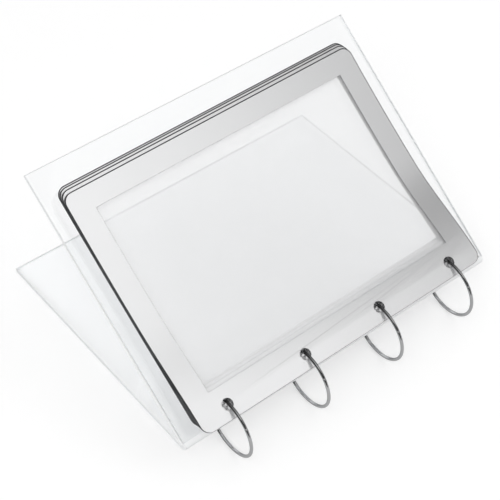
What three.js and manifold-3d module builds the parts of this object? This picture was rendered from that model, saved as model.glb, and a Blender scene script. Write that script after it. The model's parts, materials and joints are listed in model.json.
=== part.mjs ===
// Acrylic sign holder, millimetres, +Z up.
// One clear acrylic sheet is bent to a sharp V: a front panel that leans back over a leg.
// Framed leaves with clear windows lie on the front panel, and four hinged wire rings hold them.
// Each ring passes through the leaves, the front panel and the leg, and loops round the fold.
// The holder rests on the bottoms of its rings and on the rear edge of its leg.

import * as THREE from 'three';
import { mergeVertices } from 'three/addons/utils/BufferGeometryUtils.js';
import Module from 'manifold-3d';

const wasm = await Module();
wasm.setup();

// Bent sheet
const sheetWidth = 194;
const sheetThickness = 2.8;
const frontLength = 147.5;
const legLength = 149.2;
const foldAngleDeg = 37;
const foldInnerRadius = 0.4;
const foldArcSteps = 8;
const edgeEase = 0.3;
const bendEndPull = 1.6;
const bendEndReach = 9;
const sheetHoleDiameter = 6.2;
const sheetHoleInset = 13.9;

// Rings
const ringCount = 4;
const ringSpacing = 47.4;
const ringInnerDiameter = 32;
const wireDiameter = 1.75;
const wireSides = 10;
const ringHalfSteps = 22;
const ringHingeDeg = -38;
const lugRadius = 1.7;
const lugSides = 20;
const lugGap = 0.1;
const lugRelief = 0.15;
const rivetRadius = 0.5;
const rivetPlay = 0.06;
const rivetHeadRadius = 0.95;
const rivetHeadThickness = 0.3;
const rivetHeadGap = 0.05;
const ringDrop = 0.45;
const snapHalfDeg = 3;
const snapPlayDeg = 0.4;

// Leaves
const leafCount = 4;
const leafWidth = 177;
const leafHeight = 130;
const leafThickness = 0.6;
const leafCornerRadius = 5;
const leafHoleDiameter = 6.2;
const leafHoleInset = 7.4;
const leafShift = -0.5;
const leafSkewDeg = 0.5;
const leafBands = 16;
const windowWidth = 152.4;
const windowHeight = 101.6;
const windowTopMargin = 11.8;
const rebateWidth = 2;
const rebateDepth = 0.35;
const filmThickness = 0.2;
const filmPlay = 0.1;

// Heights of the leaves above the front panel's face, as they lie on the rings
const leafRestHeight = 2.6;
const leafRestTwist = 1.6;
const leafRingHeight = 5.1;
const leafTopRise = 1;
const leafPitch = 0.9;
const leafRingPitchGain = 1.1;
const leafTopPitchGain = 0.33;
const leafRingReach = 62;
const leafTopStart = 70;

const foldAngle = THREE.MathUtils.degToRad(foldAngleDeg);
const ringRadius = (ringInnerDiameter + wireDiameter) / 2;
const wireRadius = wireDiameter / 2;

// Finishes

const clearAcrylic = new THREE.MeshStandardMaterial({
  color: 0xeef1f3, roughness: 0.06, metalness: 0, transparent: true, opacity: 0.3,
});
const silverBoard = new THREE.MeshStandardMaterial({ color: 0xd9dadc, roughness: 0.28, metalness: 0.6 });
const clearFilm = new THREE.MeshStandardMaterial({
  color: 0xf1f2f3, roughness: 0.12, metalness: 0, transparent: true, opacity: 0.35,
});
const nickelWire = new THREE.MeshStandardMaterial({ color: 0xc2c4c8, roughness: 0.1, metalness: 1 });

// Solids and their joins

// Closed solid of a three.js geometry, its shared vertices merged.
function toSolid(geometry) {
  const plain = geometry.index ? geometry.toNonIndexed() : geometry.clone();
  plain.deleteAttribute('normal');
  plain.deleteAttribute('uv');
  const merged = mergeVertices(plain, 1e-5);
  return new wasm.Manifold(new wasm.Mesh({
    numProp: 3,
    vertProperties: new Float32Array(merged.attributes.position.array),
    triVerts: new Uint32Array(merged.index.array),
  }));
}

// Geometry of a closed solid, with flat shaded faces.
function toGeometry(solid) {
  const mesh = solid.getMesh();
  const geometry = new THREE.BufferGeometry();
  geometry.setAttribute('position', new THREE.BufferAttribute(new Float32Array(mesh.vertProperties), 3));
  geometry.setIndex(new THREE.BufferAttribute(new Uint32Array(mesh.triVerts), 1));
  const flat = geometry.toNonIndexed();
  flat.computeVertexNormals();
  return flat;
}

// Solid of an outline in the (a, b) plane, carried along X from one value to another.
// The extrusion runs along +Z first; the turn takes (a, b, z) to (z, a, b).
function extrudeAlongX(shape, fromX, toX, steps = 1) {
  const geometry = new THREE.ExtrudeGeometry(shape, { depth: toX - fromX, bevelEnabled: false, steps });
  geometry.translate(0, 0, fromX);
  geometry.applyMatrix4(new THREE.Matrix4().set(
    0, 0, 1, 0,
    1, 0, 0, 0,
    0, 1, 0, 0,
    0, 0, 0, 1,
  ));
  return geometry;
}

// Outline from a list of [a, b] points.
function outline(points) {
  return new THREE.Shape(points.map(([a, b]) => new THREE.Vector2(a, b)));
}

// Rectangle with rounded corners, given by two opposite corners.
function roundedRectangle(x0, y0, x1, y1, radius) {
  const shape = new THREE.Shape();
  shape.moveTo(x0 + radius, y0);
  shape.lineTo(x1 - radius, y0);
  shape.absarc(x1 - radius, y0 + radius, radius, -Math.PI / 2, 0, false);
  shape.lineTo(x1, y1 - radius);
  shape.absarc(x1 - radius, y1 - radius, radius, 0, Math.PI / 2, false);
  shape.lineTo(x0 + radius, y1);
  shape.absarc(x0 + radius, y1 - radius, radius, Math.PI / 2, Math.PI, false);
  shape.lineTo(x0, y0 + radius);
  shape.absarc(x0 + radius, y0 + radius, radius, Math.PI, 1.5 * Math.PI, false);
  return shape;
}

// Section of the holder
// All of it is drawn in the (Y, Z) plane, with the inner corner of the fold at the origin and
// the leg along +Y.

// Point at a distance along the front panel and a height above its inner face, as [y, z].
function onFront(along, height) {
  const y = along * Math.cos(foldAngle) - height * Math.sin(foldAngle);
  const z = along * Math.sin(foldAngle) + height * Math.cos(foldAngle);
  return [y, z];
}

// Centre of the rings: a ring passes a little below the middle of its hole in each panel.
function ringCentre() {
  const [frontY, frontZ] = onFront(sheetHoleInset, sheetThickness / 2);
  const legY = sheetHoleInset;
  const legZ = -sheetThickness / 2;
  const halfChord = Math.hypot(frontY - legY, frontZ - legZ) / 2;
  const back = Math.sqrt(ringRadius ** 2 - halfChord ** 2);
  const bisector = foldAngle / 2;
  const y = (frontY + legY) / 2 - back * Math.cos(bisector);
  const z = (frontZ + legZ) / 2 - back * Math.sin(bisector) - ringDrop;
  return { y, z };
}

const centre = ringCentre();
const ringXs = Array.from({ length: ringCount }, (_, i) => (i - (ringCount - 1) / 2) * ringSpacing);

// Bent sheet

// Closed outline of the sheet's section: leg, fold and front panel, with eased free edges.
function sheetSection() {
  const points = [];
  const outerRadius = foldInnerRadius + sheetThickness;
  // The inner faces are tangent to the small inner radius, whose centre lies on the bisector.
  const axisBack = foldInnerRadius / Math.sin(foldAngle / 2);
  const cy = axisBack * Math.cos(foldAngle / 2);
  const cz = axisBack * Math.sin(foldAngle / 2);
  points.push([legLength - edgeEase, 0]);
  points.push([legLength, -edgeEase]);
  points.push([legLength, -sheetThickness + edgeEase]);
  points.push([legLength - edgeEase, -sheetThickness]);
  const from = 1.5 * Math.PI;
  const to = Math.PI / 2 + foldAngle;
  for (let i = 0; i <= foldArcSteps; i += 1) {
    const a = from + (to - from) * (i / foldArcSteps);
    points.push([cy + outerRadius * Math.cos(a), cz + outerRadius * Math.sin(a)]);
  }
  points.push(onFront(frontLength - edgeEase, sheetThickness));
  points.push(onFront(frontLength, sheetThickness - edgeEase));
  points.push(onFront(frontLength, edgeEase));
  points.push(onFront(frontLength - edgeEase, 0));
  for (let i = 0; i <= foldArcSteps; i += 1) {
    const a = to + (from - to) * (i / foldArcSteps);
    points.push([cy + foldInnerRadius * Math.cos(a), cz + foldInnerRadius * Math.sin(a)]);
  }
  return outline(points.reverse());
}

// Round cutter along a direction in the (Y, Z) plane, through a point of the section.
function sheetHoleCutter(x, [y, z], directionAngle) {
  const cutter = new THREE.CylinderGeometry(
    sheetHoleDiameter / 2, sheetHoleDiameter / 2, sheetThickness * 3, 24,
  );
  // The cylinder's axis is +Y; turning it about X sets its direction in the (Y, Z) plane.
  cutter.rotateX(directionAngle);
  cutter.translate(x, y, z);
  return toSolid(cutter);
}

// The heat bend draws the ends of the fold in: the outermost part of the bend ends a little
// inside the panels' side edges, and the pull fades over a short reach from the tip.
function pullBendEnds(geometry) {
  const tipY = -sheetThickness * Math.cos(foldAngle / 2);
  const tipZ = -sheetThickness * Math.sin(foldAngle / 2);
  const position = geometry.attributes.position;
  for (let i = 0; i < position.count; i += 1) {
    const x = position.getX(i);
    const reach = Math.hypot(position.getY(i) - tipY, position.getZ(i) - tipZ);
    const fade = Math.max(0, 1 - reach / bendEndReach) ** 2;
    const isEnd = Math.abs(Math.abs(x) - sheetWidth / 2) < 1e-3;
    if (isEnd) position.setX(i, x - Math.sign(x) * bendEndPull * fade);
  }
  return geometry;
}

function makeSheet() {
  const blank = pullBendEnds(extrudeAlongX(sheetSection(), -sheetWidth / 2, sheetWidth / 2));
  let solid = toSolid(blank);
  for (const x of ringXs) {
    solid = solid.subtract(sheetHoleCutter(
      x, onFront(sheetHoleInset, sheetThickness / 2), Math.PI / 2 + foldAngle,
    ));
    solid = solid.subtract(sheetHoleCutter(x, [sheetHoleInset, -sheetThickness / 2], Math.PI / 2));
  }
  return toGeometry(solid);
}

// Rings
// A ring's pieces are drawn about the ring's centre, in planes across X.

// Wire along an arc of the ring, from one angle to another, in degrees from +Y towards +Z.
class RingArc extends THREE.Curve {
  constructor(fromDeg, toDeg) {
    super();
    this.from = THREE.MathUtils.degToRad(fromDeg);
    this.to = THREE.MathUtils.degToRad(toDeg);
  }

  getPoint(t, target = new THREE.Vector3()) {
    const a = this.from + (this.to - this.from) * t;
    return target.set(0, ringRadius * Math.cos(a), ringRadius * Math.sin(a));
  }
}

function wireArc(fromDeg, toDeg, steps) {
  const section = new THREE.Shape();
  for (let i = 0; i < wireSides; i += 1) {
    const a = (2 * Math.PI * (i + 0.5)) / wireSides;
    const px = wireRadius * Math.cos(a);
    const py = wireRadius * Math.sin(a);
    if (i === 0) section.moveTo(px, py);
    else section.lineTo(px, py);
  }
  section.closePath();
  const extrudePath = new RingArc(fromDeg, toDeg);
  return toSolid(new THREE.ExtrudeGeometry(section, { steps, bevelEnabled: false, extrudePath }));
}

// Disc whose axis is along X, on the ring's centre line at an angle.
function discAt(angleDeg, radius, fromX, toX, sides) {
  const disc = new THREE.CylinderGeometry(radius, radius, toX - fromX, sides);
  disc.rotateZ(Math.PI / 2);
  const a = THREE.MathUtils.degToRad(angleDeg);
  disc.translate((fromX + toX) / 2, ringRadius * Math.cos(a), ringRadius * Math.sin(a));
  return toSolid(disc);
}

// Half of the wire's thickness, on one side of the ring's plane, along a short arc.
function sideSlab(sign, fromDeg, toDeg) {
  const inner = ringRadius - wireDiameter;
  const outer = ringRadius + wireDiameter;
  const corners = [[inner, fromDeg], [outer, fromDeg], [outer, toDeg], [inner, toDeg]];
  const shape = outline(corners.map(([r, deg]) => {
    const a = THREE.MathUtils.degToRad(deg);
    return [r * Math.cos(a), r * Math.sin(a)];
  }));
  const near = (sign * lugGap) / 2;
  const far = sign * wireDiameter;
  return toSolid(extrudeAlongX(shape, Math.min(near, far), Math.max(near, far)));
}

// One half of a ring: a half circle of wire with a flat lug at the hinge and a half-lapped snap end.
// The sign is the side of the ring's plane on which its lug and its tongue lie, and the turn says
// which way round from the hinge the wire runs.
function ringHalf(sign, turn) {
  const snapDeg = ringHingeDeg + 180;
  const hingeDeg = turn > 0 ? ringHingeDeg : ringHingeDeg + 360;
  const fullEnd = snapDeg - turn * (snapHalfDeg + snapPlayDeg / 2);
  const tongueEnd = snapDeg + turn * (snapHalfDeg - snapPlayDeg / 2);
  const [from, to] = turn > 0 ? [hingeDeg, tongueEnd] : [tongueEnd, hingeDeg];
  let half = wireArc(from, to, ringHalfSteps);
  // The tongue keeps only its own side of the wire.
  const lap = sideSlab(-sign, Math.min(fullEnd, tongueEnd) - 0.001, Math.max(fullEnd, tongueEnd) + 2);
  const lapBack = sideSlab(-sign, Math.min(fullEnd, tongueEnd) - 2, Math.max(fullEnd, tongueEnd) + 0.001);
  half = half.subtract(turn > 0 ? lap : lapBack);
  half = half.subtract(middleSlab(Math.min(fullEnd, tongueEnd), Math.max(fullEnd, tongueEnd)));
  // The other half's lug turns in this relief.
  const edge = (sign * lugGap) / 2;
  const far = -sign * wireDiameter;
  half = half.subtract(discAt(
    hingeDeg, lugRadius + lugRelief, Math.min(edge, far), Math.max(edge, far), lugSides,
  ));
  const lugFar = sign * wireRadius;
  half = half.add(discAt(hingeDeg, lugRadius, Math.min(edge, lugFar), Math.max(edge, lugFar), lugSides));
  half = half.subtract(discAt(hingeDeg, rivetRadius + rivetPlay, -wireDiameter, wireDiameter, 12));
  return toGeometry(half);
}

// Thin slab in the ring's plane that keeps the two snap tongues apart.
function middleSlab(fromDeg, toDeg) {
  const inner = ringRadius - wireDiameter;
  const outer = ringRadius + wireDiameter;
  const corners = [[inner, fromDeg], [outer, fromDeg], [outer, toDeg], [inner, toDeg]];
  const shape = outline(corners.map(([r, deg]) => {
    const a = THREE.MathUtils.degToRad(deg);
    return [r * Math.cos(a), r * Math.sin(a)];
  }));
  return toSolid(extrudeAlongX(shape, -lugGap / 2, lugGap / 2));
}

// Rivet through both lugs, with a flat head on each side.
function makeRivet() {
  const headIn = wireRadius + rivetHeadGap;
  const headOut = headIn + rivetHeadThickness;
  const profile = [
    [0, -headOut], [rivetHeadRadius, -headOut], [rivetHeadRadius, -headIn], [rivetRadius, -headIn],
    [rivetRadius, headIn], [rivetHeadRadius, headIn], [rivetHeadRadius, headOut], [0, headOut],
  ].map(([r, h]) => new THREE.Vector2(r, h));
  const rivet = new THREE.LatheGeometry(profile, 12);
  rivet.rotateZ(Math.PI / 2);
  const a = THREE.MathUtils.degToRad(ringHingeDeg);
  rivet.translate(0, ringRadius * Math.cos(a), ringRadius * Math.sin(a));
  return toGeometry(toSolid(rivet));
}

// Leaves
// A leaf is drawn with x across it, its distance u up from its lower edge as y, and its height
// above the front panel's inner face as z.

// Falls from 1 at the leaf's lower edge to 0 where the leaf has come down from the rings.
function nearRings(u) {
  return u < leafRingReach ? 0.5 + 0.5 * Math.cos((Math.PI * u) / leafRingReach) : 0;
}

// Rises from 0 in the middle of the leaf to 1 at its upper edge, where the leaves curl up a little.
function nearTop(u) {
  return u > leafTopStart ? ((u - leafTopStart) / (leafHeight - leafTopStart)) ** 2 : 0;
}

// Height of the middle of a leaf's thickness at x = 0; level 0 is the lowest leaf.
function leafMiddle(level, u) {
  const low = leafRestHeight + (leafRingHeight - leafRestHeight) * nearRings(u) + leafTopRise * nearTop(u);
  const pitch = leafPitch + leafRingPitchGain * nearRings(u) + leafTopPitchGain * nearTop(u);
  return sheetThickness + low + level * pitch;
}

// Away from the rings the leaves lie lower on the right and higher on the left.
function leafTwist(x, u) {
  return -leafRestTwist * (x / (leafWidth / 2)) * (1 - nearRings(u));
}

// Curved layer of a leaf between two heights about its middle, over its full width and height.
function leafLayer(level, low, high) {
  const lower = [];
  const upper = [];
  for (let i = 0; i <= leafBands; i += 1) {
    const u = (leafHeight * i) / leafBands;
    const middle = leafMiddle(level, u);
    lower.push([u, middle + low]);
    upper.unshift([u, middle + high]);
  }
  return toSolid(extrudeAlongX(outline([...lower, ...upper]), -leafWidth / 2, leafWidth / 2));
}

// Prism over an outline in the leaf's plane, taller than the stack of leaves.
function leafPrism(shape) {
  return toSolid(new THREE.ExtrudeGeometry(shape, { depth: 60, bevelEnabled: false, curveSegments: 6 }));
}

// Window outline, made larger all round by a margin.
function windowOutline(margin) {
  const top = leafHeight - windowTopMargin;
  return roundedRectangle(
    -windowWidth / 2 - margin, top - windowHeight - margin, windowWidth / 2 + margin, top + margin, 0.4,
  );
}

// Bends a flat-sided solid by the twist, which is straight across x at every u.
function twistLeaf(solid) {
  return solid.warp((point) => {
    point[2] += leafTwist(point[0], point[1]);
  });
}

function leafHole(x) {
  const hole = new THREE.Shape();
  hole.absarc(x, leafHoleInset, leafHoleDiameter / 2, 0, 2 * Math.PI, false);
  return leafPrism(hole);
}

function makeLeafFrame(level) {
  const half = leafThickness / 2;
  let frame = leafLayer(level, -half, half);
  frame = frame.intersect(leafPrism(
    roundedRectangle(-leafWidth / 2, 0, leafWidth / 2, leafHeight, leafCornerRadius),
  ));
  frame = frame.subtract(leafPrism(windowOutline(0)));
  const rebate = leafLayer(level, -leafThickness, -half + rebateDepth)
    .intersect(leafPrism(windowOutline(rebateWidth)));
  frame = frame.subtract(rebate);
  for (const x of ringXs) frame = frame.subtract(leafHole(x));
  return toGeometry(twistLeaf(frame));
}

// The film lies in the rebate on the frame's underside and closes its window.
function makeLeafFilm(level) {
  const top = -leafThickness / 2 + rebateDepth - filmPlay / 2;
  const film = leafLayer(level, top - filmThickness, top)
    .intersect(leafPrism(windowOutline(rebateWidth - filmPlay)));
  return toGeometry(twistLeaf(film));
}

// Assembly

function named(name, geometry, material) {
  const mesh = new THREE.Mesh(geometry, material);
  mesh.name = name;
  return mesh;
}

// Distance up the front panel of a point on the ring's centre line at a height above the inner face.
function ringAlongFront(height) {
  const along = centre.y * Math.cos(foldAngle) + centre.z * Math.sin(foldAngle);
  const above = -centre.y * Math.sin(foldAngle) + centre.z * Math.cos(foldAngle);
  return along + Math.sqrt(ringRadius ** 2 - (height - above) ** 2);
}

const holder = new THREE.Group();
holder.add(named('acrylic_stand', makeSheet(), clearAcrylic));

ringXs.forEach((x, i) => {
  const ring = new THREE.Group();
  ring.position.set(x, centre.y, centre.z);
  ring.add(named(`ring_${i + 1}_back_half`, ringHalf(1, 1), nickelWire));
  ring.add(named(`ring_${i + 1}_front_half`, ringHalf(-1, -1), nickelWire));
  ring.add(named(`ring_${i + 1}_rivet`, makeRivet(), nickelWire));
  holder.add(ring);
});

for (let level = 0; level < leafCount; level += 1) {
  const number = leafCount - level;
  const along = ringAlongFront(leafMiddle(level, leafHoleInset));
  // The leaf's own plane is tipped up to the front panel, then turned a little in that plane
  // about the middle of its row of holes.
  const plane = new THREE.Group();
  plane.rotation.x = foldAngle;
  const skew = new THREE.Group();
  skew.position.set(leafShift, along, 0);
  skew.rotation.z = THREE.MathUtils.degToRad(leafSkewDeg);
  const leaf = new THREE.Group();
  leaf.position.y = -leafHoleInset;
  leaf.add(named(`leaf_${number}_frame`, makeLeafFrame(level), silverBoard));
  leaf.add(named(`leaf_${number}_film`, makeLeafFilm(level), clearFilm));
  skew.add(leaf);
  plane.add(skew);
  holder.add(plane);
}

// The holder tips back until its rear edge and the bottoms of its rings meet one level plane.
const outerRingRadius = ringRadius + wireRadius;
const rearY = legLength - edgeEase;
const rearZ = -sheetThickness;
const reach = Math.hypot(rearY - centre.y, centre.z - rearZ);
const tip = Math.asin(outerRingRadius / reach) - Math.atan2(centre.z - rearZ, rearY - centre.y);
holder.rotation.x = -tip;

const part = new THREE.Group();
part.add(holder);
part.updateMatrixWorld(true);
const box = new THREE.Box3().setFromObject(part, true);
holder.position.set(0, -(box.min.y + box.max.y) / 2, -box.min.z);
part.updateMatrixWorld(true);

export default part;
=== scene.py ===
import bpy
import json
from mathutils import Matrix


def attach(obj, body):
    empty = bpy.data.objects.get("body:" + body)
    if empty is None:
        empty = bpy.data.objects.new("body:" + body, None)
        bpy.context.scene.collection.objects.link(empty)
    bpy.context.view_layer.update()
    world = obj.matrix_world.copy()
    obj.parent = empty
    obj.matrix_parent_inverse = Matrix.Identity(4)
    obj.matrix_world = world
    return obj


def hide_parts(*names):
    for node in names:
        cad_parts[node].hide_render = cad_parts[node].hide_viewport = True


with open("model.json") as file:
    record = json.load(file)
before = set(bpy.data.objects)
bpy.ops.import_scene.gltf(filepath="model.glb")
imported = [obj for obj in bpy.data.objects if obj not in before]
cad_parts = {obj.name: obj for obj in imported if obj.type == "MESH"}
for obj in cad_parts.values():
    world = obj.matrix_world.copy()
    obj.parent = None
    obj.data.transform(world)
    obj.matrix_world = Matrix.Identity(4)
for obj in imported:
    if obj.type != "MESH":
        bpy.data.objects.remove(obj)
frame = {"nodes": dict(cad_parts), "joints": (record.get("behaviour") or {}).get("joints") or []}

"""Looks of a clear acrylic sign holder: a bent sheet, silver window leaves and hinged wire rings.

Lengths are in metres unless a name says otherwise. Angles of the rings are taken about a ring's
centre, from the leg's direction towards the front panel, as the holder is built.
"""

import json
import logging
import math
from dataclasses import dataclass, field
from enum import Enum
from typing import Sequence

import bmesh
import bpy
import numpy as np
from mathutils import Vector

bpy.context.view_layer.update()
MM = 0.001
WELD = 2e-6
FLAT_DEG = 0.05
log = logging.getLogger("sign_holder")


class Side(Enum):
    """Which of a leaf's faces a polygon belongs to."""

    SHEET = 0
    EDGE = 1


class ShaderKind(Enum):
    """Node types used by the finishes."""

    COORDINATES = "ShaderNodeTexCoord"
    MAPPING = "ShaderNodeMapping"
    NOISE = "ShaderNodeTexNoise"
    BUMP = "ShaderNodeBump"
    MIX = "ShaderNodeMix"
    MATHS = "ShaderNodeMath"
    LIGHT_PATH = "ShaderNodeLightPath"
    TRANSPARENT = "ShaderNodeBsdfTransparent"
    MIX_SHADER = "ShaderNodeMixShader"
    ADD_SHADER = "ShaderNodeAddShader"
    DIFFUSE = "ShaderNodeBsdfDiffuse"
    EMISSION = "ShaderNodeEmission"
    SEPARATE = "ShaderNodeSeparateXYZ"


class Graph:
    """One material's node tree: its Principled shader is there, and add makes its other nodes."""

    def __init__(self, name: str) -> None:
        """Makes an empty material that holds a Principled shader and an output."""
        self.material = bpy.data.materials.new(name)
        self.material.use_nodes = True
        self.tree = self.material.node_tree
        self.principled = self.tree.nodes["Principled BSDF"]
        self.output = self.tree.nodes["Material Output"]

    @classmethod
    def of_tree(cls, tree: bpy.types.NodeTree) -> "Graph":
        """Wraps a node tree that isn't a material's, such as the world's."""
        graph = cls.__new__(cls)
        graph.tree = tree
        return graph

    def add(self, kind: ShaderKind, settings: dict | None = None, inputs: dict | None = None):
        """Makes a node, sets its properties, then fills its sockets.

        Args:
            kind: The node's type.
            settings: Properties by name.
            inputs: Values or sockets by input name or number.

        Returns:
            The new node.
        """
        node = self.tree.nodes.new(kind.value)
        for name, value in (settings or {}).items():
            setattr(node, name, value)
        for name, value in (inputs or {}).items():
            self.fill(node.inputs[name], value)
        return node

    def fill(self, socket, value) -> None:
        """Links a socket or a wrapped value to an input, or sets a plain number or colour on it."""
        source = value.socket if isinstance(value, Value) else value
        if isinstance(source, bpy.types.NodeSocket):
            self.tree.links.new(source, socket)
        else:
            socket.default_value = source

    def value(self, socket) -> "Value":
        """Wraps an output so that it can be used in sums."""
        return Value(self, socket)

    def place(self) -> dict:
        """Object coordinates as three wrapped values, under x, y and z."""
        coordinates = self.add(ShaderKind.COORDINATES)
        parts = self.add(ShaderKind.SEPARATE, None, {"Vector": coordinates.outputs["Object"]})
        return {axis.lower(): self.value(parts.outputs[axis]) for axis in "XYZ"}

    def noise(self, scale: float, detail: float = 2.0, stretch: tuple = (1, 1, 1)) -> "Value":
        """Smooth noise on Object coordinates.

        Args:
            scale: Waves in a metre, about.
            detail: Number of finer layers.
            stretch: Scale of the pattern along each axis.

        Returns:
            The noise, from 0 to 1.
        """
        coordinates = self.add(ShaderKind.COORDINATES)
        mapping = self.add(
            ShaderKind.MAPPING, None, {"Vector": coordinates.outputs["Object"], "Scale": stretch}
        )
        node = self.add(
            ShaderKind.NOISE,
            None,
            {"Vector": mapping.outputs["Vector"], "Scale": scale, "Detail": detail},
        )
        return self.value(node.outputs["Fac"])

    def bump(self, height: "Value", depth: float, strength: float = 1.0) -> None:
        """Feeds a height into the Principled shader's normal through a Bump node."""
        node = self.add(
            ShaderKind.BUMP, None, {"Height": height, "Distance": depth, "Strength": strength}
        )
        self.fill(self.principled.inputs["Normal"], node.outputs["Normal"])

    def let_light_through(self, shade: tuple) -> None:
        """Shows the surface as it is, but lets shadow rays pass, tinted by shade."""
        path = self.add(ShaderKind.LIGHT_PATH)
        clear = self.add(ShaderKind.TRANSPARENT, None, {"Color": shade})
        shader = self.principled.outputs["BSDF"]
        parts = {0: path.outputs["Is Shadow Ray"], 1: shader, 2: clear.outputs["BSDF"]}
        mixed = self.add(ShaderKind.MIX_SHADER, None, parts)
        self.fill(self.output.inputs["Surface"], mixed.outputs["Shader"])

    def set(self, **values) -> None:
        """Sets or links inputs of the Principled shader, its spaces written as underscores."""
        for name, value in values.items():
            self.fill(self.principled.inputs[name.replace("_", " ")], value)

    def mix(self, share: "Value", low: tuple, high: tuple):
        """A colour that goes from low to high as share goes from 0 to 1."""
        node = self.add(ShaderKind.MIX, {"data_type": "RGBA"})
        self.fill(node.inputs[0], share)
        self.fill(node.inputs[6], low)
        self.fill(node.inputs[7], high)
        return node.outputs[2]


class Value:
    """A number that varies over a surface, with the operators that build Math nodes."""

    def __init__(self, graph: Graph, socket) -> None:
        """Keeps the graph and the output that gives the number."""
        self.graph = graph
        self.socket = socket

    def _maths(self, operation: str, *terms) -> "Value":
        """Makes a Math node of these terms."""
        inputs = dict(enumerate(terms))
        node = self.graph.add(ShaderKind.MATHS, {"operation": operation}, inputs)
        return Value(self.graph, node.outputs[0])

    def __add__(self, other) -> "Value":
        """Sum."""
        return self._maths("ADD", self, other)

    __radd__ = __add__

    def __mul__(self, other) -> "Value":
        """Product."""
        return self._maths("MULTIPLY", self, other)

    __rmul__ = __mul__

    def __sub__(self, other) -> "Value":
        """Difference."""
        return self._maths("SUBTRACT", self, other)

    def __rsub__(self, other) -> "Value":
        """Difference, taken from a number."""
        return self._maths("SUBTRACT", other, self)

    def __truediv__(self, other) -> "Value":
        """Quotient."""
        return self._maths("DIVIDE", self, other)

    def size(self) -> "Value":
        """The number without its sign."""
        return self._maths("ABSOLUTE", self)

    def at_least(self, least: float) -> "Value":
        """The number, or least where it is smaller."""
        return self._maths("MAXIMUM", self, least)

    def at_most(self, most: float) -> "Value":
        """The number, or most where it is larger."""
        return self._maths("MINIMUM", self, most)

    def root(self) -> "Value":
        """Square root."""
        return self._maths("SQRT", self)

    def clamped(self) -> "Value":
        """The number held between 0 and 1."""
        held = self._maths("ADD", self, 0.0)
        held.socket.node.use_clamp = True
        return held


@dataclass(frozen=True)
class ClearAcrylic:
    """Polished clear acrylic: it bends light and tints it a little. Shadow rays pass through it."""

    tint: tuple = (0.945, 0.951, 0.955, 1)
    refraction: float = 1.49
    roughness: float = 0.01
    shade: tuple = (0.95, 0.955, 0.96, 1)
    wave_scale: float = 11.0
    wave_depth: float = 0.00005
    wipe_scale: float = 160.0
    wipe_gain: float = 0.03

    def material(self) -> bpy.types.Material:
        """Builds the material."""
        graph = Graph("clear_acrylic")
        waves = graph.noise(self.wave_scale, 1.0)
        wipes = graph.noise(self.wipe_scale, 3.0, (1.0, 0.15, 0.15))
        graph.set(Base_Color=self.tint, IOR=self.refraction, Transmission_Weight=1.0)
        graph.set(Roughness=wipes * self.wipe_gain + self.roughness)
        graph.bump(waves, self.wave_depth, 0.3)
        graph.let_light_through(self.shade)
        return graph.material


@dataclass(frozen=True)
class PaintedGlowEdge:
    """Cut or bent edge of the acrylic, where more light gathers and the sheet looks pale grey. A
    faint painted glow in its pale colour stands in for that gathered light.
    """

    pale: tuple = (0.94, 0.948, 0.952, 1)
    grey: tuple = (0.86, 0.87, 0.88, 1)
    roughness: float = 0.22
    painted_glow: float = 0.1
    streak_scale: float = 260.0
    streak_gain: float = 0.12
    streak_depth: float = 0.00003

    def material(self) -> bpy.types.Material:
        """Builds the material."""
        graph = Graph("acrylic_edge")
        streaks = graph.noise(self.streak_scale, 2.0, (0.12, 1.0, 1.0))
        graph.set(Base_Color=graph.mix(streaks, self.pale, self.grey))
        graph.set(Roughness=streaks * self.streak_gain + self.roughness)
        # Painted light: the edge glows faintly in its pale colour, standing in for the light that
        # gathers in a clear edge.
        graph.set(Emission_Color=self.pale, Emission_Strength=self.painted_glow)
        graph.bump(streaks, self.streak_depth, 0.4)
        return graph.material


@dataclass(frozen=True)
class ClearFilm:
    """Thin glossy film in a window, a little wavy as it is held only at its edges."""

    milk: tuple = (0.94, 0.942, 0.946, 1)
    cover: float = 0.22
    refraction: float = 1.45
    roughness: float = 0.12
    shade: tuple = (0.97, 0.972, 0.975, 1)
    wave_scale: float = 22.0
    wave_cover: float = 0.04
    wave_gain: float = 0.06
    wave_depth: float = 0.0003

    def material(self) -> bpy.types.Material:
        """Builds the material."""
        graph = Graph("clear_film")
        waves = graph.noise(self.wave_scale, 1.5, (1.0, 0.6, 0.6))
        cover = waves * self.wave_cover + self.cover
        graph.set(Base_Color=self.milk, IOR=self.refraction, Alpha=cover)
        graph.set(Roughness=waves * self.wave_gain + self.roughness)
        graph.bump(waves, self.wave_depth, 0.4)
        graph.let_light_through(self.shade)
        return graph.material


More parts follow.
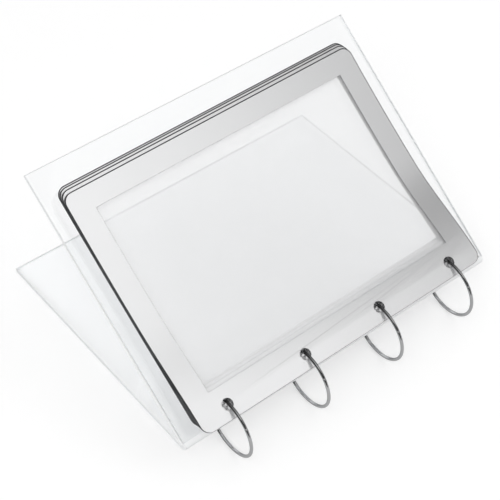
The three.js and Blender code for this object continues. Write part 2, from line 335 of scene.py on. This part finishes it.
@dataclass(frozen=True)
class SilverSheet:
    """Glossy silver page face: fine metallic grain, with a dark band along its outer rim.

    The rim is where the distance inside a rounded rectangle is under rim_width. That rectangle is
    turned with the page and lies rim_drop below its middle, so the rim is widest at the top.
    """

    pale: tuple = (0.93, 0.932, 0.938, 1)
    deep: tuple = (0.89, 0.893, 0.90, 1)
    dark_edge: tuple = (0.03, 0.03, 0.033, 1)
    metal: float = 0.75
    roughness: float = 0.2
    width: float = 177 * MM
    height: float = 130 * MM
    corner: float = 5 * MM
    rim_width: float = 0.42 * MM
    rim_blur: float = 0.12 * MM
    rim_drop: float = 0.2 * MM
    slope_deg: float = 30.8
    skew_deg: float = 0.5
    cloud_scale: float = 16.0
    grain_scale: float = 5200.0
    relief: float = 0.0004

    def rim(self, graph: Graph, middle: Vector) -> Value:
        """Mask of the dark rim: 0 on the silver, 1 along the page's edge.

        Args:
            graph: The material's nodes.
            middle: The page's middle in the row's frame.

        Returns:
            The mask.
        """
        place = graph.place()
        slope, skew = math.radians(self.slope_deg), math.radians(self.skew_deg)
        across = place["x"] - middle.x
        up = (place["y"] - middle.y) * math.cos(slope) + (place["z"] - middle.z) * math.sin(slope)
        up = up + self.rim_drop
        along_x = across * math.cos(skew) + up * math.sin(skew)
        along_y = up * math.cos(skew) - across * math.sin(skew)
        past_x = (along_x.size() - (self.width / 2 - self.corner)).at_least(0.0)
        past_y = (along_y.size() - (self.height / 2 - self.corner)).at_least(0.0)
        outside = (past_x * past_x + past_y * past_y).root() - self.corner
        return ((outside + self.rim_width) / self.rim_blur).clamped()

    def middle_of(self, piece: bpy.types.Object) -> Vector:
        """Middle of a page's outline, measured along its own two directions."""
        points = np.array([vertex.co for vertex in piece.data.vertices])
        slope, skew = math.radians(self.slope_deg), math.radians(self.skew_deg)
        across = np.array([1.0, 0.0, 0.0])
        up = np.array([0.0, math.cos(slope), math.sin(slope)])
        axes = np.stack([
            across * math.cos(skew) + up * math.sin(skew),
            up * math.cos(skew) - across * math.sin(skew),
        ])
        reach = points @ axes.T
        return Vector((reach.min(axis=0) + reach.max(axis=0)) / 2 @ axes)

    def material(self, middle: Vector) -> bpy.types.Material:
        """Builds the material for a page whose middle is given."""
        graph = Graph("silver_board")
        cloud = graph.noise(self.cloud_scale, 2.0)
        grain = graph.noise(self.grain_scale, 1.0)
        rim = self.rim(graph, middle)
        silver = graph.mix(cloud, self.pale, self.deep)
        # Along the rim the colour goes to a flat dark grey and the metal fades out, making a dark
        # band that is widest at the top.
        graph.set(Base_Color=graph.mix(rim, silver, self.dark_edge), Metallic=(1 - rim) * self.metal)
        graph.set(Roughness=cloud * 0.05 + grain * 0.04 + rim * 0.25 + self.roughness)
        graph.bump(cloud * 0.9 + grain * 0.02, self.relief, 0.2)
        return graph.material


@dataclass(frozen=True)
class BlackCore:
    """Dark cut edge of a page, with the faint lines of its layers."""

    dark: tuple = (0.012, 0.012, 0.014, 1)
    grey: tuple = (0.05, 0.05, 0.055, 1)
    roughness: float = 0.45
    fibre_scale: float = 900.0
    fibre_depth: float = 0.00003

    def material(self) -> bpy.types.Material:
        """Builds the material."""
        graph = Graph("page_edge")
        fibres = graph.noise(self.fibre_scale, 3.0, (0.2, 1.0, 1.0))
        graph.set(Base_Color=graph.mix(fibres, self.dark, self.grey))
        graph.set(Roughness=fibres * 0.2 + self.roughness)
        graph.bump(fibres, self.fibre_depth, 0.4)
        return graph.material


@dataclass(frozen=True)
class NickelWire:
    """Bright plated wire with fine drawn lines along it and faint handling marks."""

    bright: tuple = (0.72, 0.725, 0.735, 1)
    dull: tuple = (0.58, 0.585, 0.595, 1)
    roughness: float = 0.05
    mark_scale: float = 420.0
    mark_gain: float = 0.06
    mark_depth: float = 0.00001
    cloud_scale: float = 90.0

    def material(self) -> bpy.types.Material:
        """Builds the material."""
        graph = Graph("ring_wire")
        marks = graph.noise(self.mark_scale, 3.0)
        clouds = graph.noise(self.cloud_scale, 1.0)
        graph.set(Base_Color=graph.mix(clouds, self.bright, self.dull), Metallic=1.0)
        graph.set(Roughness=marks * self.mark_gain + self.roughness)
        graph.bump(marks, self.mark_depth, 0.3)
        return graph.material


def mesh_object(
    name: str, points: np.ndarray, faces: np.ndarray, closed: bool = True
) -> bpy.types.Object:
    """Makes a smooth mesh object from arrays.

    Args:
        name: The object's name.
        points: Vertices, one row each, in metres.
        faces: Quads, one row of four vertex numbers each; a triangle repeats its last number.
        closed: Whether the shape encloses a volume, so that its faces are turned outwards.

    Returns:
        The object, linked to the scene at the origin.
    """
    rows = [row[:3] if row[2] == row[3] else row for row in faces.tolist()]
    data = bpy.data.meshes.new(name)
    data.from_pydata(points.tolist(), [], rows)
    data.update()
    if closed:
        shape = bmesh.new()
        shape.from_mesh(data)
        bmesh.ops.remove_doubles(shape, verts=shape.verts, dist=1e-7)
        bmesh.ops.recalc_face_normals(shape, faces=shape.faces)
        shape.to_mesh(data)
        shape.free()
    data.shade_smooth()
    made = bpy.data.objects.new(name, data)
    bpy.context.scene.collection.objects.link(made)
    return made


def grid_faces(rows: int, columns: int, wrap: bool) -> np.ndarray:
    """Quads of a grid of points.

    Args:
        rows: Number of rows of points.
        columns: Number of points in a row.
        wrap: Whether each row closes on itself.

    Returns:
        Vertex numbers, one row of four for each quad. Quad (i, j) joins points (i, j), (i, j + 1),
        (i + 1, j + 1) and (i + 1, j).
    """
    across = columns if wrap else columns - 1
    i, j = np.meshgrid(np.arange(rows - 1), np.arange(across), indexing="ij")
    after = (j + 1) % columns
    near, far = i * columns, (i + 1) * columns
    corners = [near + j, near + after, far + after, far + j]
    return np.stack([c.ravel() for c in corners], axis=1)


@dataclass
class Placement:
    """Turn and shift from the holder's own section to the row's frame.

    The section's Y runs along the leg and its Z up from it. The holder tips back by tip_deg, and
    the ring centres lie at centre_y, centre_z in the row's frame.
    """

    tip_deg: float = 6.2
    centre_y: float = 0.0
    centre_z: float = 0.0

    def to_row(self, x: np.ndarray, y: np.ndarray, z: np.ndarray) -> np.ndarray:
        """Turns points given about a ring's centre by minus tip_deg about X, and moves them there.

        Args:
            x: Places along the fold.
            y: Distances from the ring's centre along the leg.
            z: Distances from the ring's centre square to the leg.

        Returns:
            One row of three numbers for each point.
        """
        turn = math.radians(-self.tip_deg)
        row_y = self.centre_y + y * math.cos(turn) - z * math.sin(turn)
        row_z = self.centre_z + y * math.sin(turn) + z * math.cos(turn)
        return np.stack([np.broadcast_to(x, row_y.shape), row_y, row_z], axis=-1).reshape(-1, 3)


@dataclass
class WireRing:
    """One hinged loose-leaf ring: two half circles of wire, a lug on each and a rivet."""

    number: int
    centre_x: float
    placement: Placement
    radius: float = 16.875 * MM
    wire: float = 1.72 * MM
    hinge_deg: float = -38.0
    snap_gap_deg: float = 0.12
    lug_radius: float = 1.7 * MM
    lug_gap: float = 0.1 * MM
    rivet_radius: float = 0.5 * MM
    rivet_head: float = 0.95 * MM
    head_rise: float = 0.32 * MM
    head_gap: float = 0.05 * MM
    lug_ease: float = 0.18 * MM
    lug_cover_deg: float = 4.5
    around: int = 20
    along: int = 72

    def section_tube(self, start_deg: float, stop_deg: float) -> tuple[np.ndarray, np.ndarray]:
        """Wire along an arc, with flat closed ends.

        Point (i, j) lies at angle a_i on the ring and b_j round the wire: its distance from the
        ring's axis is R + r cos b, and its place along that axis is r sin b.

        Args:
            start_deg: Angle where the wire starts.
            stop_deg: Angle where it stops.

        Returns:
            Vertices and quads. The last rows close the ends to one point each.
        """
        angle = np.radians(np.linspace(start_deg, stop_deg, self.along))[:, None]
        turn = np.linspace(0, 2 * np.pi, self.around, endpoint=False)[None, :]
        section = np.full((self.along + 2, 1), self.wire / 2)
        section[0] = 0
        section[-1] = 0
        angle = np.vstack([angle[:1], angle, angle[-1:]])
        reach = self.radius + section * np.cos(turn)
        x = self.centre_x + section * np.sin(turn)
        points = self.placement.to_row(x, reach * np.cos(angle), reach * np.sin(angle))
        return points, grid_faces(self.along + 2, self.around, True)

    def turned_disc(
        self, profile: Sequence[tuple], sides: int = 28
    ) -> tuple[np.ndarray, np.ndarray]:
        """Profile turned about an axis along X through the hinge.

        Point (i, j) of the surface is at radius p_i and place q_i along the axis, turned by b_j.

        Args:
            profile: (radius, place) pairs in metres, starting and ending on the axis.
            sides: Points round the axis.

        Returns:
            Vertices and quads.
        """
        line = np.array(profile)
        turn = np.linspace(0, 2 * np.pi, sides, endpoint=False)[None, :]
        hinge = math.radians(self.hinge_deg)
        y = self.radius * math.cos(hinge) + line[:, :1] * np.cos(turn)
        z = self.radius * math.sin(hinge) + line[:, :1] * np.sin(turn)
        x = self.centre_x + line[:, 1:] + 0 * turn
        return self.placement.to_row(x, y, z), grid_faces(len(line), sides, True)

    def half(
        self, sign: int, turn: int, name: str, finish: bpy.types.Material
    ) -> bpy.types.Object:
        """One half of the ring with the lug on its side of the ring's plane.

        Args:
            sign: +1 or -1, the side of the ring's plane on which the lug lies.
            turn: +1 for the half that runs through the holes, -1 for the outer one.
            name: The piece's name.
            finish: The wire's material.

        Returns:
            The piece.
        """
        start = self.hinge_deg + self.lug_cover_deg * turn
        stop = self.hinge_deg + 180 * turn - self.snap_gap_deg / 2 * turn
        wire_points, wire_faces = self.section_tube(start, stop)
        face = sign * self.lug_gap / 2
        back = sign * self.wire / 2
        ease = self.lug_ease
        lug = [
            (0, face),
            (self.lug_radius - ease / 2, face),
            (self.lug_radius, face + sign * ease / 2),
            (self.lug_radius, back - sign * ease),
            (self.lug_radius - ease, back),
            (0, back),
        ]
        lug_points, lug_faces = self.turned_disc(lug)
        points = np.vstack([wire_points, lug_points])
        faces = np.vstack([wire_faces, lug_faces + len(wire_points)])
        piece = mesh_object(name, points, faces)
        piece.data.materials.append(finish)
        return piece

    def rivet(self, name: str, finish: bpy.types.Material) -> bpy.types.Object:
        """Rivet with a domed head on each side."""
        inner = self.wire / 2 + self.head_gap
        dome = [
            (self.rivet_head * math.cos(t), inner + self.head_rise * math.sin(t))
            for t in np.linspace(0, 1, 7) * math.pi / 2
        ]
        right = [(self.rivet_radius, inner)] + dome
        left = [(radius, -place) for radius, place in reversed(right)]
        ends = [(0.0, left[0][1])], [(0.0, right[-1][1])]
        points, faces = self.turned_disc(ends[0] + left[1:] + right[:-1] + ends[1])
        piece = mesh_object(name, points, faces)
        piece.data.materials.append(finish)
        return piece

    def build(self, finish: bpy.types.Material) -> None:
        """Builds the ring's three pieces and rides each on its body."""
        plan = [("back_half", 1, 1, "holder"), ("front_half", -1, -1, f"ring_{self.number}_gate")]
        for part, sign, turn, body in plan:
            node = f"ring_{self.number}_{part}"
            piece = self.half(sign, turn, f"wire_{self.number}_{part}", finish)
            settle(piece, node, body)
        piece = self.rivet(f"wire_{self.number}_rivet", finish)
        settle(piece, f"ring_{self.number}_rivet", "holder")


def settle(piece: bpy.types.Object, node: str, body: str) -> None:
    """Rides a finished piece on its body, in the place of a CAD node, and logs it."""
    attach(piece, body)
    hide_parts(node)
    log.info("%s stands for %s on %s, %d faces", piece.name, node, body, len(piece.data.polygons))


def smooth_copy(node: str, name: str, crease_deg: float) -> bpy.types.Object:
    """Copies a CAD node's mesh, joins its loose triangles and smooths its gentle bends.

    Args:
        node: The CAD node.
        name: The copy's name.
        crease_deg: Edges sharper than this stay sharp.

    Returns:
        The copy, at the origin.
    """
    data = frame["nodes"][node].data.copy()
    data.name = name
    shape = bmesh.new()
    shape.from_mesh(data)
    bmesh.ops.remove_doubles(shape, verts=shape.verts, dist=WELD)
    bmesh.ops.dissolve_limit(
        shape, angle_limit=math.radians(FLAT_DEG), verts=shape.verts, edges=shape.edges
    )
    bmesh.ops.triangulate(shape, faces=[f for f in shape.faces if len(f.verts) > 4])
    limit = math.radians(crease_deg)
    for face in shape.faces:
        face.smooth = True
    for edge in shape.edges:
        edge.smooth = edge.calc_face_angle(math.pi) < limit
    shape.to_mesh(data)
    shape.free()
    data.materials.clear()
    made = bpy.data.objects.new(name, data)
    bpy.context.scene.collection.objects.link(made)
    return made


def split_faces(piece: bpy.types.Object, slopes_deg: Sequence[float], facing: float) -> None:
    """Gives each polygon of a sheet its face's material or its edge's.

    A polygon is part of a face if its normal is square, near enough, to a panel that rises by one
    of the slopes towards +Y: the cosine between them is over facing, whichever way they point.

    Args:
        piece: The sheet's mesh object, its two materials already in their slots.
        slopes_deg: Slopes of its panels.
        facing: Least cosine for a face.
    """
    data = piece.data
    normals = np.empty(len(data.polygons) * 3, np.float32)
    data.polygons.foreach_get("normal", normals)
    slopes = np.radians(np.array(slopes_deg))
    upright = np.stack([0 * slopes, -np.sin(slopes), np.cos(slopes)])
    flat = np.abs(normals.reshape(-1, 3) @ upright).max(axis=1) > facing
    chosen = np.where(flat, Side.SHEET.value, Side.EDGE.value).astype(np.int32)
    data.polygons.foreach_set("material_index", chosen)
    data.update()


def keep_upper_face(piece: bpy.types.Object, slope_deg: float) -> None:
    """Leaves only the upper face of a film, so that it is seen as the one thin skin that it is.

    Args:
        piece: The film's mesh object.
        slope_deg: Slope of its panel towards +Y.
    """
    slope = math.radians(slope_deg)
    upright = Vector((0.0, -math.sin(slope), math.cos(slope)))
    shape = bmesh.new()
    shape.from_mesh(piece.data)
    hidden = [face for face in shape.faces if face.normal.dot(upright) < 0.7]
    bmesh.ops.delete(shape, geom=hidden, context="FACES")
    shape.to_mesh(piece.data)
    shape.free()


@dataclass
class BentSheet:
    """The clear acrylic sheet with its fold and its eight holes."""

    clear: ClearAcrylic = field(default_factory=ClearAcrylic)
    edge: PaintedGlowEdge = field(default_factory=PaintedGlowEdge)
    front_slope_deg: float = 30.8
    leg_slope_deg: float = -6.2
    crease_deg: float = 32.0
    facing: float = 0.9985

    def build(self) -> None:
        """Builds the sheet from the solid's own form: a smooth fold and crisp cut edges."""
        piece = smooth_copy("acrylic_stand", "bent_sheet", self.crease_deg)
        piece.data.materials.append(self.clear.material())
        piece.data.materials.append(self.edge.material())
        split_faces(piece, (self.front_slope_deg, self.leg_slope_deg), self.facing)
        settle(piece, "acrylic_stand", "holder")


@dataclass
class WindowLeaf:
    """One page: a silver frame with a dark core, and the film in its window."""

    number: int
    body: str
    slope_deg: float = 30.8
    facing: float = 0.7

    def build(
        self, sheet: SilverSheet, dark_edge: bpy.types.Material, film: bpy.types.Material
    ) -> None:
        """Builds the frame and the film."""
        page = smooth_copy(f"leaf_{self.number}_frame", f"page_{self.number}", 30.0)
        page.data.materials.append(sheet.material(sheet.middle_of(page)))
        page.data.materials.append(dark_edge)
        split_faces(page, (self.slope_deg,), self.facing)
        settle(page, f"leaf_{self.number}_frame", self.body)
        pane = smooth_copy(f"leaf_{self.number}_film", f"window_{self.number}", 30.0)
        keep_upper_face(pane, self.slope_deg)
        pane.data.materials.append(film)
        settle(pane, f"leaf_{self.number}_film", self.body)


@dataclass
class Studio:
    """Pale floor, soft lamps and the camera of the photograph."""

    camera_place: tuple = (-306.6 * MM, -349.0 * MM, 601.2 * MM)
    camera_turn_deg: tuple = (39.142, -2.240, -37.800)
    lens_mm: float = 103.54
    sensor_mm: float = 36.0
    wall_radius: float = 1.4
    floor_span: float = 8.0
    floor_tone: float = 0.60
    floor_glow: float = 0.45
    ambient: float = 0.62
    sky_top: float = 1.2
    sky_least: float = 0.12
    sky_x: float = 0.30
    sky_y: float = -0.45
    sky_fall_x: float = 2.6
    sky_fall_y: float = -2.0
    sky_left_x: float = -0.02
    sky_left_fall: float = 5.0
    aim: tuple = (0.0, 0.0, 0.04)
    lamps: tuple = (
        ("key", (-0.9, -0.7, 1.5), 1.2, 12),
        ("fill", (1.1, -0.5, 1.2), 1.4, 5),
    )
    walls: tuple = (
        ("front_wall", (-165, -70), (0.2, 58), 0.02),
        ("right_wall", (-62, 40), (0.2, 38), 0.03),
        ("back_wall", (42, 121), (0.2, 55), 0.03),
        ("left_wall", (122, 194), (0.2, 62), 0.02),
    )

    def camera(self) -> None:
        """Sets the camera that was fitted to the photograph's edges and rings."""
        data = bpy.data.cameras.new("camera")
        data.lens = self.lens_mm
        data.sensor_width = self.sensor_mm
        data.sensor_fit = "HORIZONTAL"
        data.clip_start = 0.01
        data.clip_end = 50
        made = bpy.data.objects.new("camera", data)
        made.location = self.camera_place
        made.rotation_euler = tuple(math.radians(a) for a in self.camera_turn_deg)
        bpy.context.scene.collection.objects.link(made)
        bpy.context.scene.camera = made

    def lamp(self, name: str, place: tuple, target: tuple, size: float, power: float) -> None:
        """Adds a square soft lamp that faces a target point and that reflections leave out."""
        data = bpy.data.lights.new(name, "AREA")
        data.shape = "SQUARE"
        data.size = size
        data.energy = power
        made = bpy.data.objects.new(name, data)
        made.location = place
        made.rotation_euler = (Vector(target) - Vector(place)).to_track_quat("-Z", "Y").to_euler()
        made.visible_glossy = False
        bpy.context.scene.collection.objects.link(made)

    def wall(self, name: str, azimuths_deg: tuple, heights_deg: tuple, tone: float) -> None:
        """Adds a curved studio wall that only reflections see.

        Point (i, j) is at azimuth a_i and elevation e_j as seen from the origin, on an upright
        cylinder of radius wall_radius.

        Args:
            name: The wall's name.
            azimuths_deg: Where it starts and stops, from +X towards +Y.
            heights_deg: Its lowest and highest elevation.
            tone: Its grey.
        """
        azimuth = np.radians(np.linspace(*azimuths_deg, 25))[:, None]
        height = self.wall_radius * np.tan(np.radians(np.array(heights_deg)))[None, :]
        x = self.wall_radius * np.cos(azimuth) + 0 * height
        y = self.wall_radius * np.sin(azimuth) + 0 * height
        points = np.stack([x, y, height + 0 * azimuth], axis=-1).reshape(-1, 3)
        faces = grid_faces(len(azimuth), 2, False)
        self.show_in_gloss(mesh_object(name, points, faces, closed=False), tone)

    def show_in_gloss(self, piece: bpy.types.Object, tone: float) -> None:
        """Gives a studio wall its grey, and shows it to reflections alone."""
        graph = Graph(piece.name)
        grey = (tone, tone, tone, 1)
        glow = graph.add(ShaderKind.EMISSION, None, {"Color": grey, "Strength": 1.0})
        graph.fill(graph.output.inputs["Surface"], glow.outputs["Emission"])
        piece.data.materials.append(graph.material)
        piece.visible_camera = False
        piece.visible_diffuse = False
        piece.visible_shadow = False
        piece.visible_transmission = False

    def floor(self) -> None:
        """Adds the pale floor. Its glow lifts it to white, and shadows still darken it."""
        half = self.floor_span / 2
        points = np.array([(-half, -half, 0), (half, -half, 0), (half, half, 0), (-half, half, 0)])
        piece = mesh_object("floor", points, np.array([[0, 1, 2, 3]]), closed=False)
        graph = Graph("floor")
        tone = (self.floor_tone, self.floor_tone, self.floor_tone, 1)
        matt = graph.add(ShaderKind.DIFFUSE, None, {"Color": tone})
        path = graph.add(ShaderKind.LIGHT_PATH)
        through = graph.value(path.outputs["Is Transmission Ray"])
        seen = (graph.value(path.outputs["Is Camera Ray"]) + through).clamped()
        inputs = {"Color": (1, 1, 1, 1), "Strength": seen * self.floor_glow}
        glow = graph.add(ShaderKind.EMISSION, None, inputs)
        parts = {0: matt.outputs["BSDF"], 1: glow.outputs["Emission"]}
        both = graph.add(ShaderKind.ADD_SHADER, None, parts)
        graph.fill(graph.output.inputs["Surface"], both.outputs["Shader"])
        piece.data.materials.append(graph.material)

    def world(self) -> None:
        """Sets the sky: white where it is seen, dimmer as a light, and graded where it is mirrored.

        As it is mirrored, its strength falls towards the right and the back, as a big soft light
        does away from its middle: s = top - fall_x (x - x0) + fall_y (y - y0), for a ray towards
        (x, y, z), and no more than top. Left of left_x it falls by left_fall times the distance.
        It is never under least.
        """
        world = bpy.data.worlds.new("studio")
        world.use_nodes = True
        bpy.context.scene.world = world
        graph = Graph.of_tree(world.node_tree)
        path = graph.add(ShaderKind.LIGHT_PATH)
        ray = graph.add(ShaderKind.COORDINATES).outputs["Generated"]
        parts = graph.add(ShaderKind.SEPARATE, None, {"Vector": ray})
        x, y = graph.value(parts.outputs["X"]), graph.value(parts.outputs["Y"])
        graded = self.sky_top - (x - self.sky_x) * self.sky_fall_x
        graded = graded + (y - self.sky_y) * self.sky_fall_y
        left_side = (self.sky_left_x - x).at_least(0.0) * self.sky_left_fall
        graded = (graded.at_most(self.sky_top) - left_side).at_least(self.sky_least)
        mirrored = graph.value(path.outputs["Is Glossy Ray"])
        through = graph.value(path.outputs["Is Transmission Ray"])
        seen = (graph.value(path.outputs["Is Camera Ray"]) + through).clamped()
        plain = (1 - (seen + mirrored).clamped()) * self.ambient
        sky = world.node_tree.nodes["Background"]
        sky.inputs["Color"].default_value = (1, 1, 1, 1)
        graph.fill(sky.inputs["Strength"], seen + (1 - seen) * mirrored * graded + plain)

    def build(self) -> None:
        """Builds the camera, the sky, the floor, the lamps and the walls."""
        self.camera()
        self.world()
        self.floor()
        for name, place, size, power in self.lamps:
            self.lamp(name, place, self.aim, size, power)
        for name, azimuths_deg, heights_deg, tone in self.walls:
            self.wall(name, azimuths_deg, heights_deg, tone)


def ring_placement() -> tuple[Placement, list[float]]:
    """Reads where the rings are from the CAD solids' joints.

    Returns:
        The placement of the ring centres, and each ring's place along the fold, in order.
    """
    joints = {joint["name"]: joint for joint in frame["joints"]}
    pivot = joints["top_leaf_turn"]["pos_m"]
    names = sorted(name for name in joints if name.startswith("ring_"))
    places = [joints[name]["pos_m"][0] for name in names]
    return Placement(centre_y=pivot[1], centre_z=pivot[2]), places


def main() -> None:
    """Builds the studio, the sheet, the leaves and the rings."""
    logging.basicConfig(level=logging.INFO, format="%(name)s: %(message)s")
    scene = bpy.context.scene
    scene.view_settings.view_transform = "Standard"
    Studio().build()
    BentSheet().build()
    sheet, dark_edge, film = SilverSheet(), BlackCore().material(), ClearFilm().material()
    for number in (1, 2, 3, 4):
        body = "top_leaf" if number == 1 else "holder"
        WindowLeaf(number, body).build(sheet, dark_edge, film)
    placement, places = ring_placement()
    wire = NickelWire().material()
    for number, place in enumerate(places, start=1):
        WireRing(number, place, placement).build(wire)


if __name__ == "__main__":
    main()
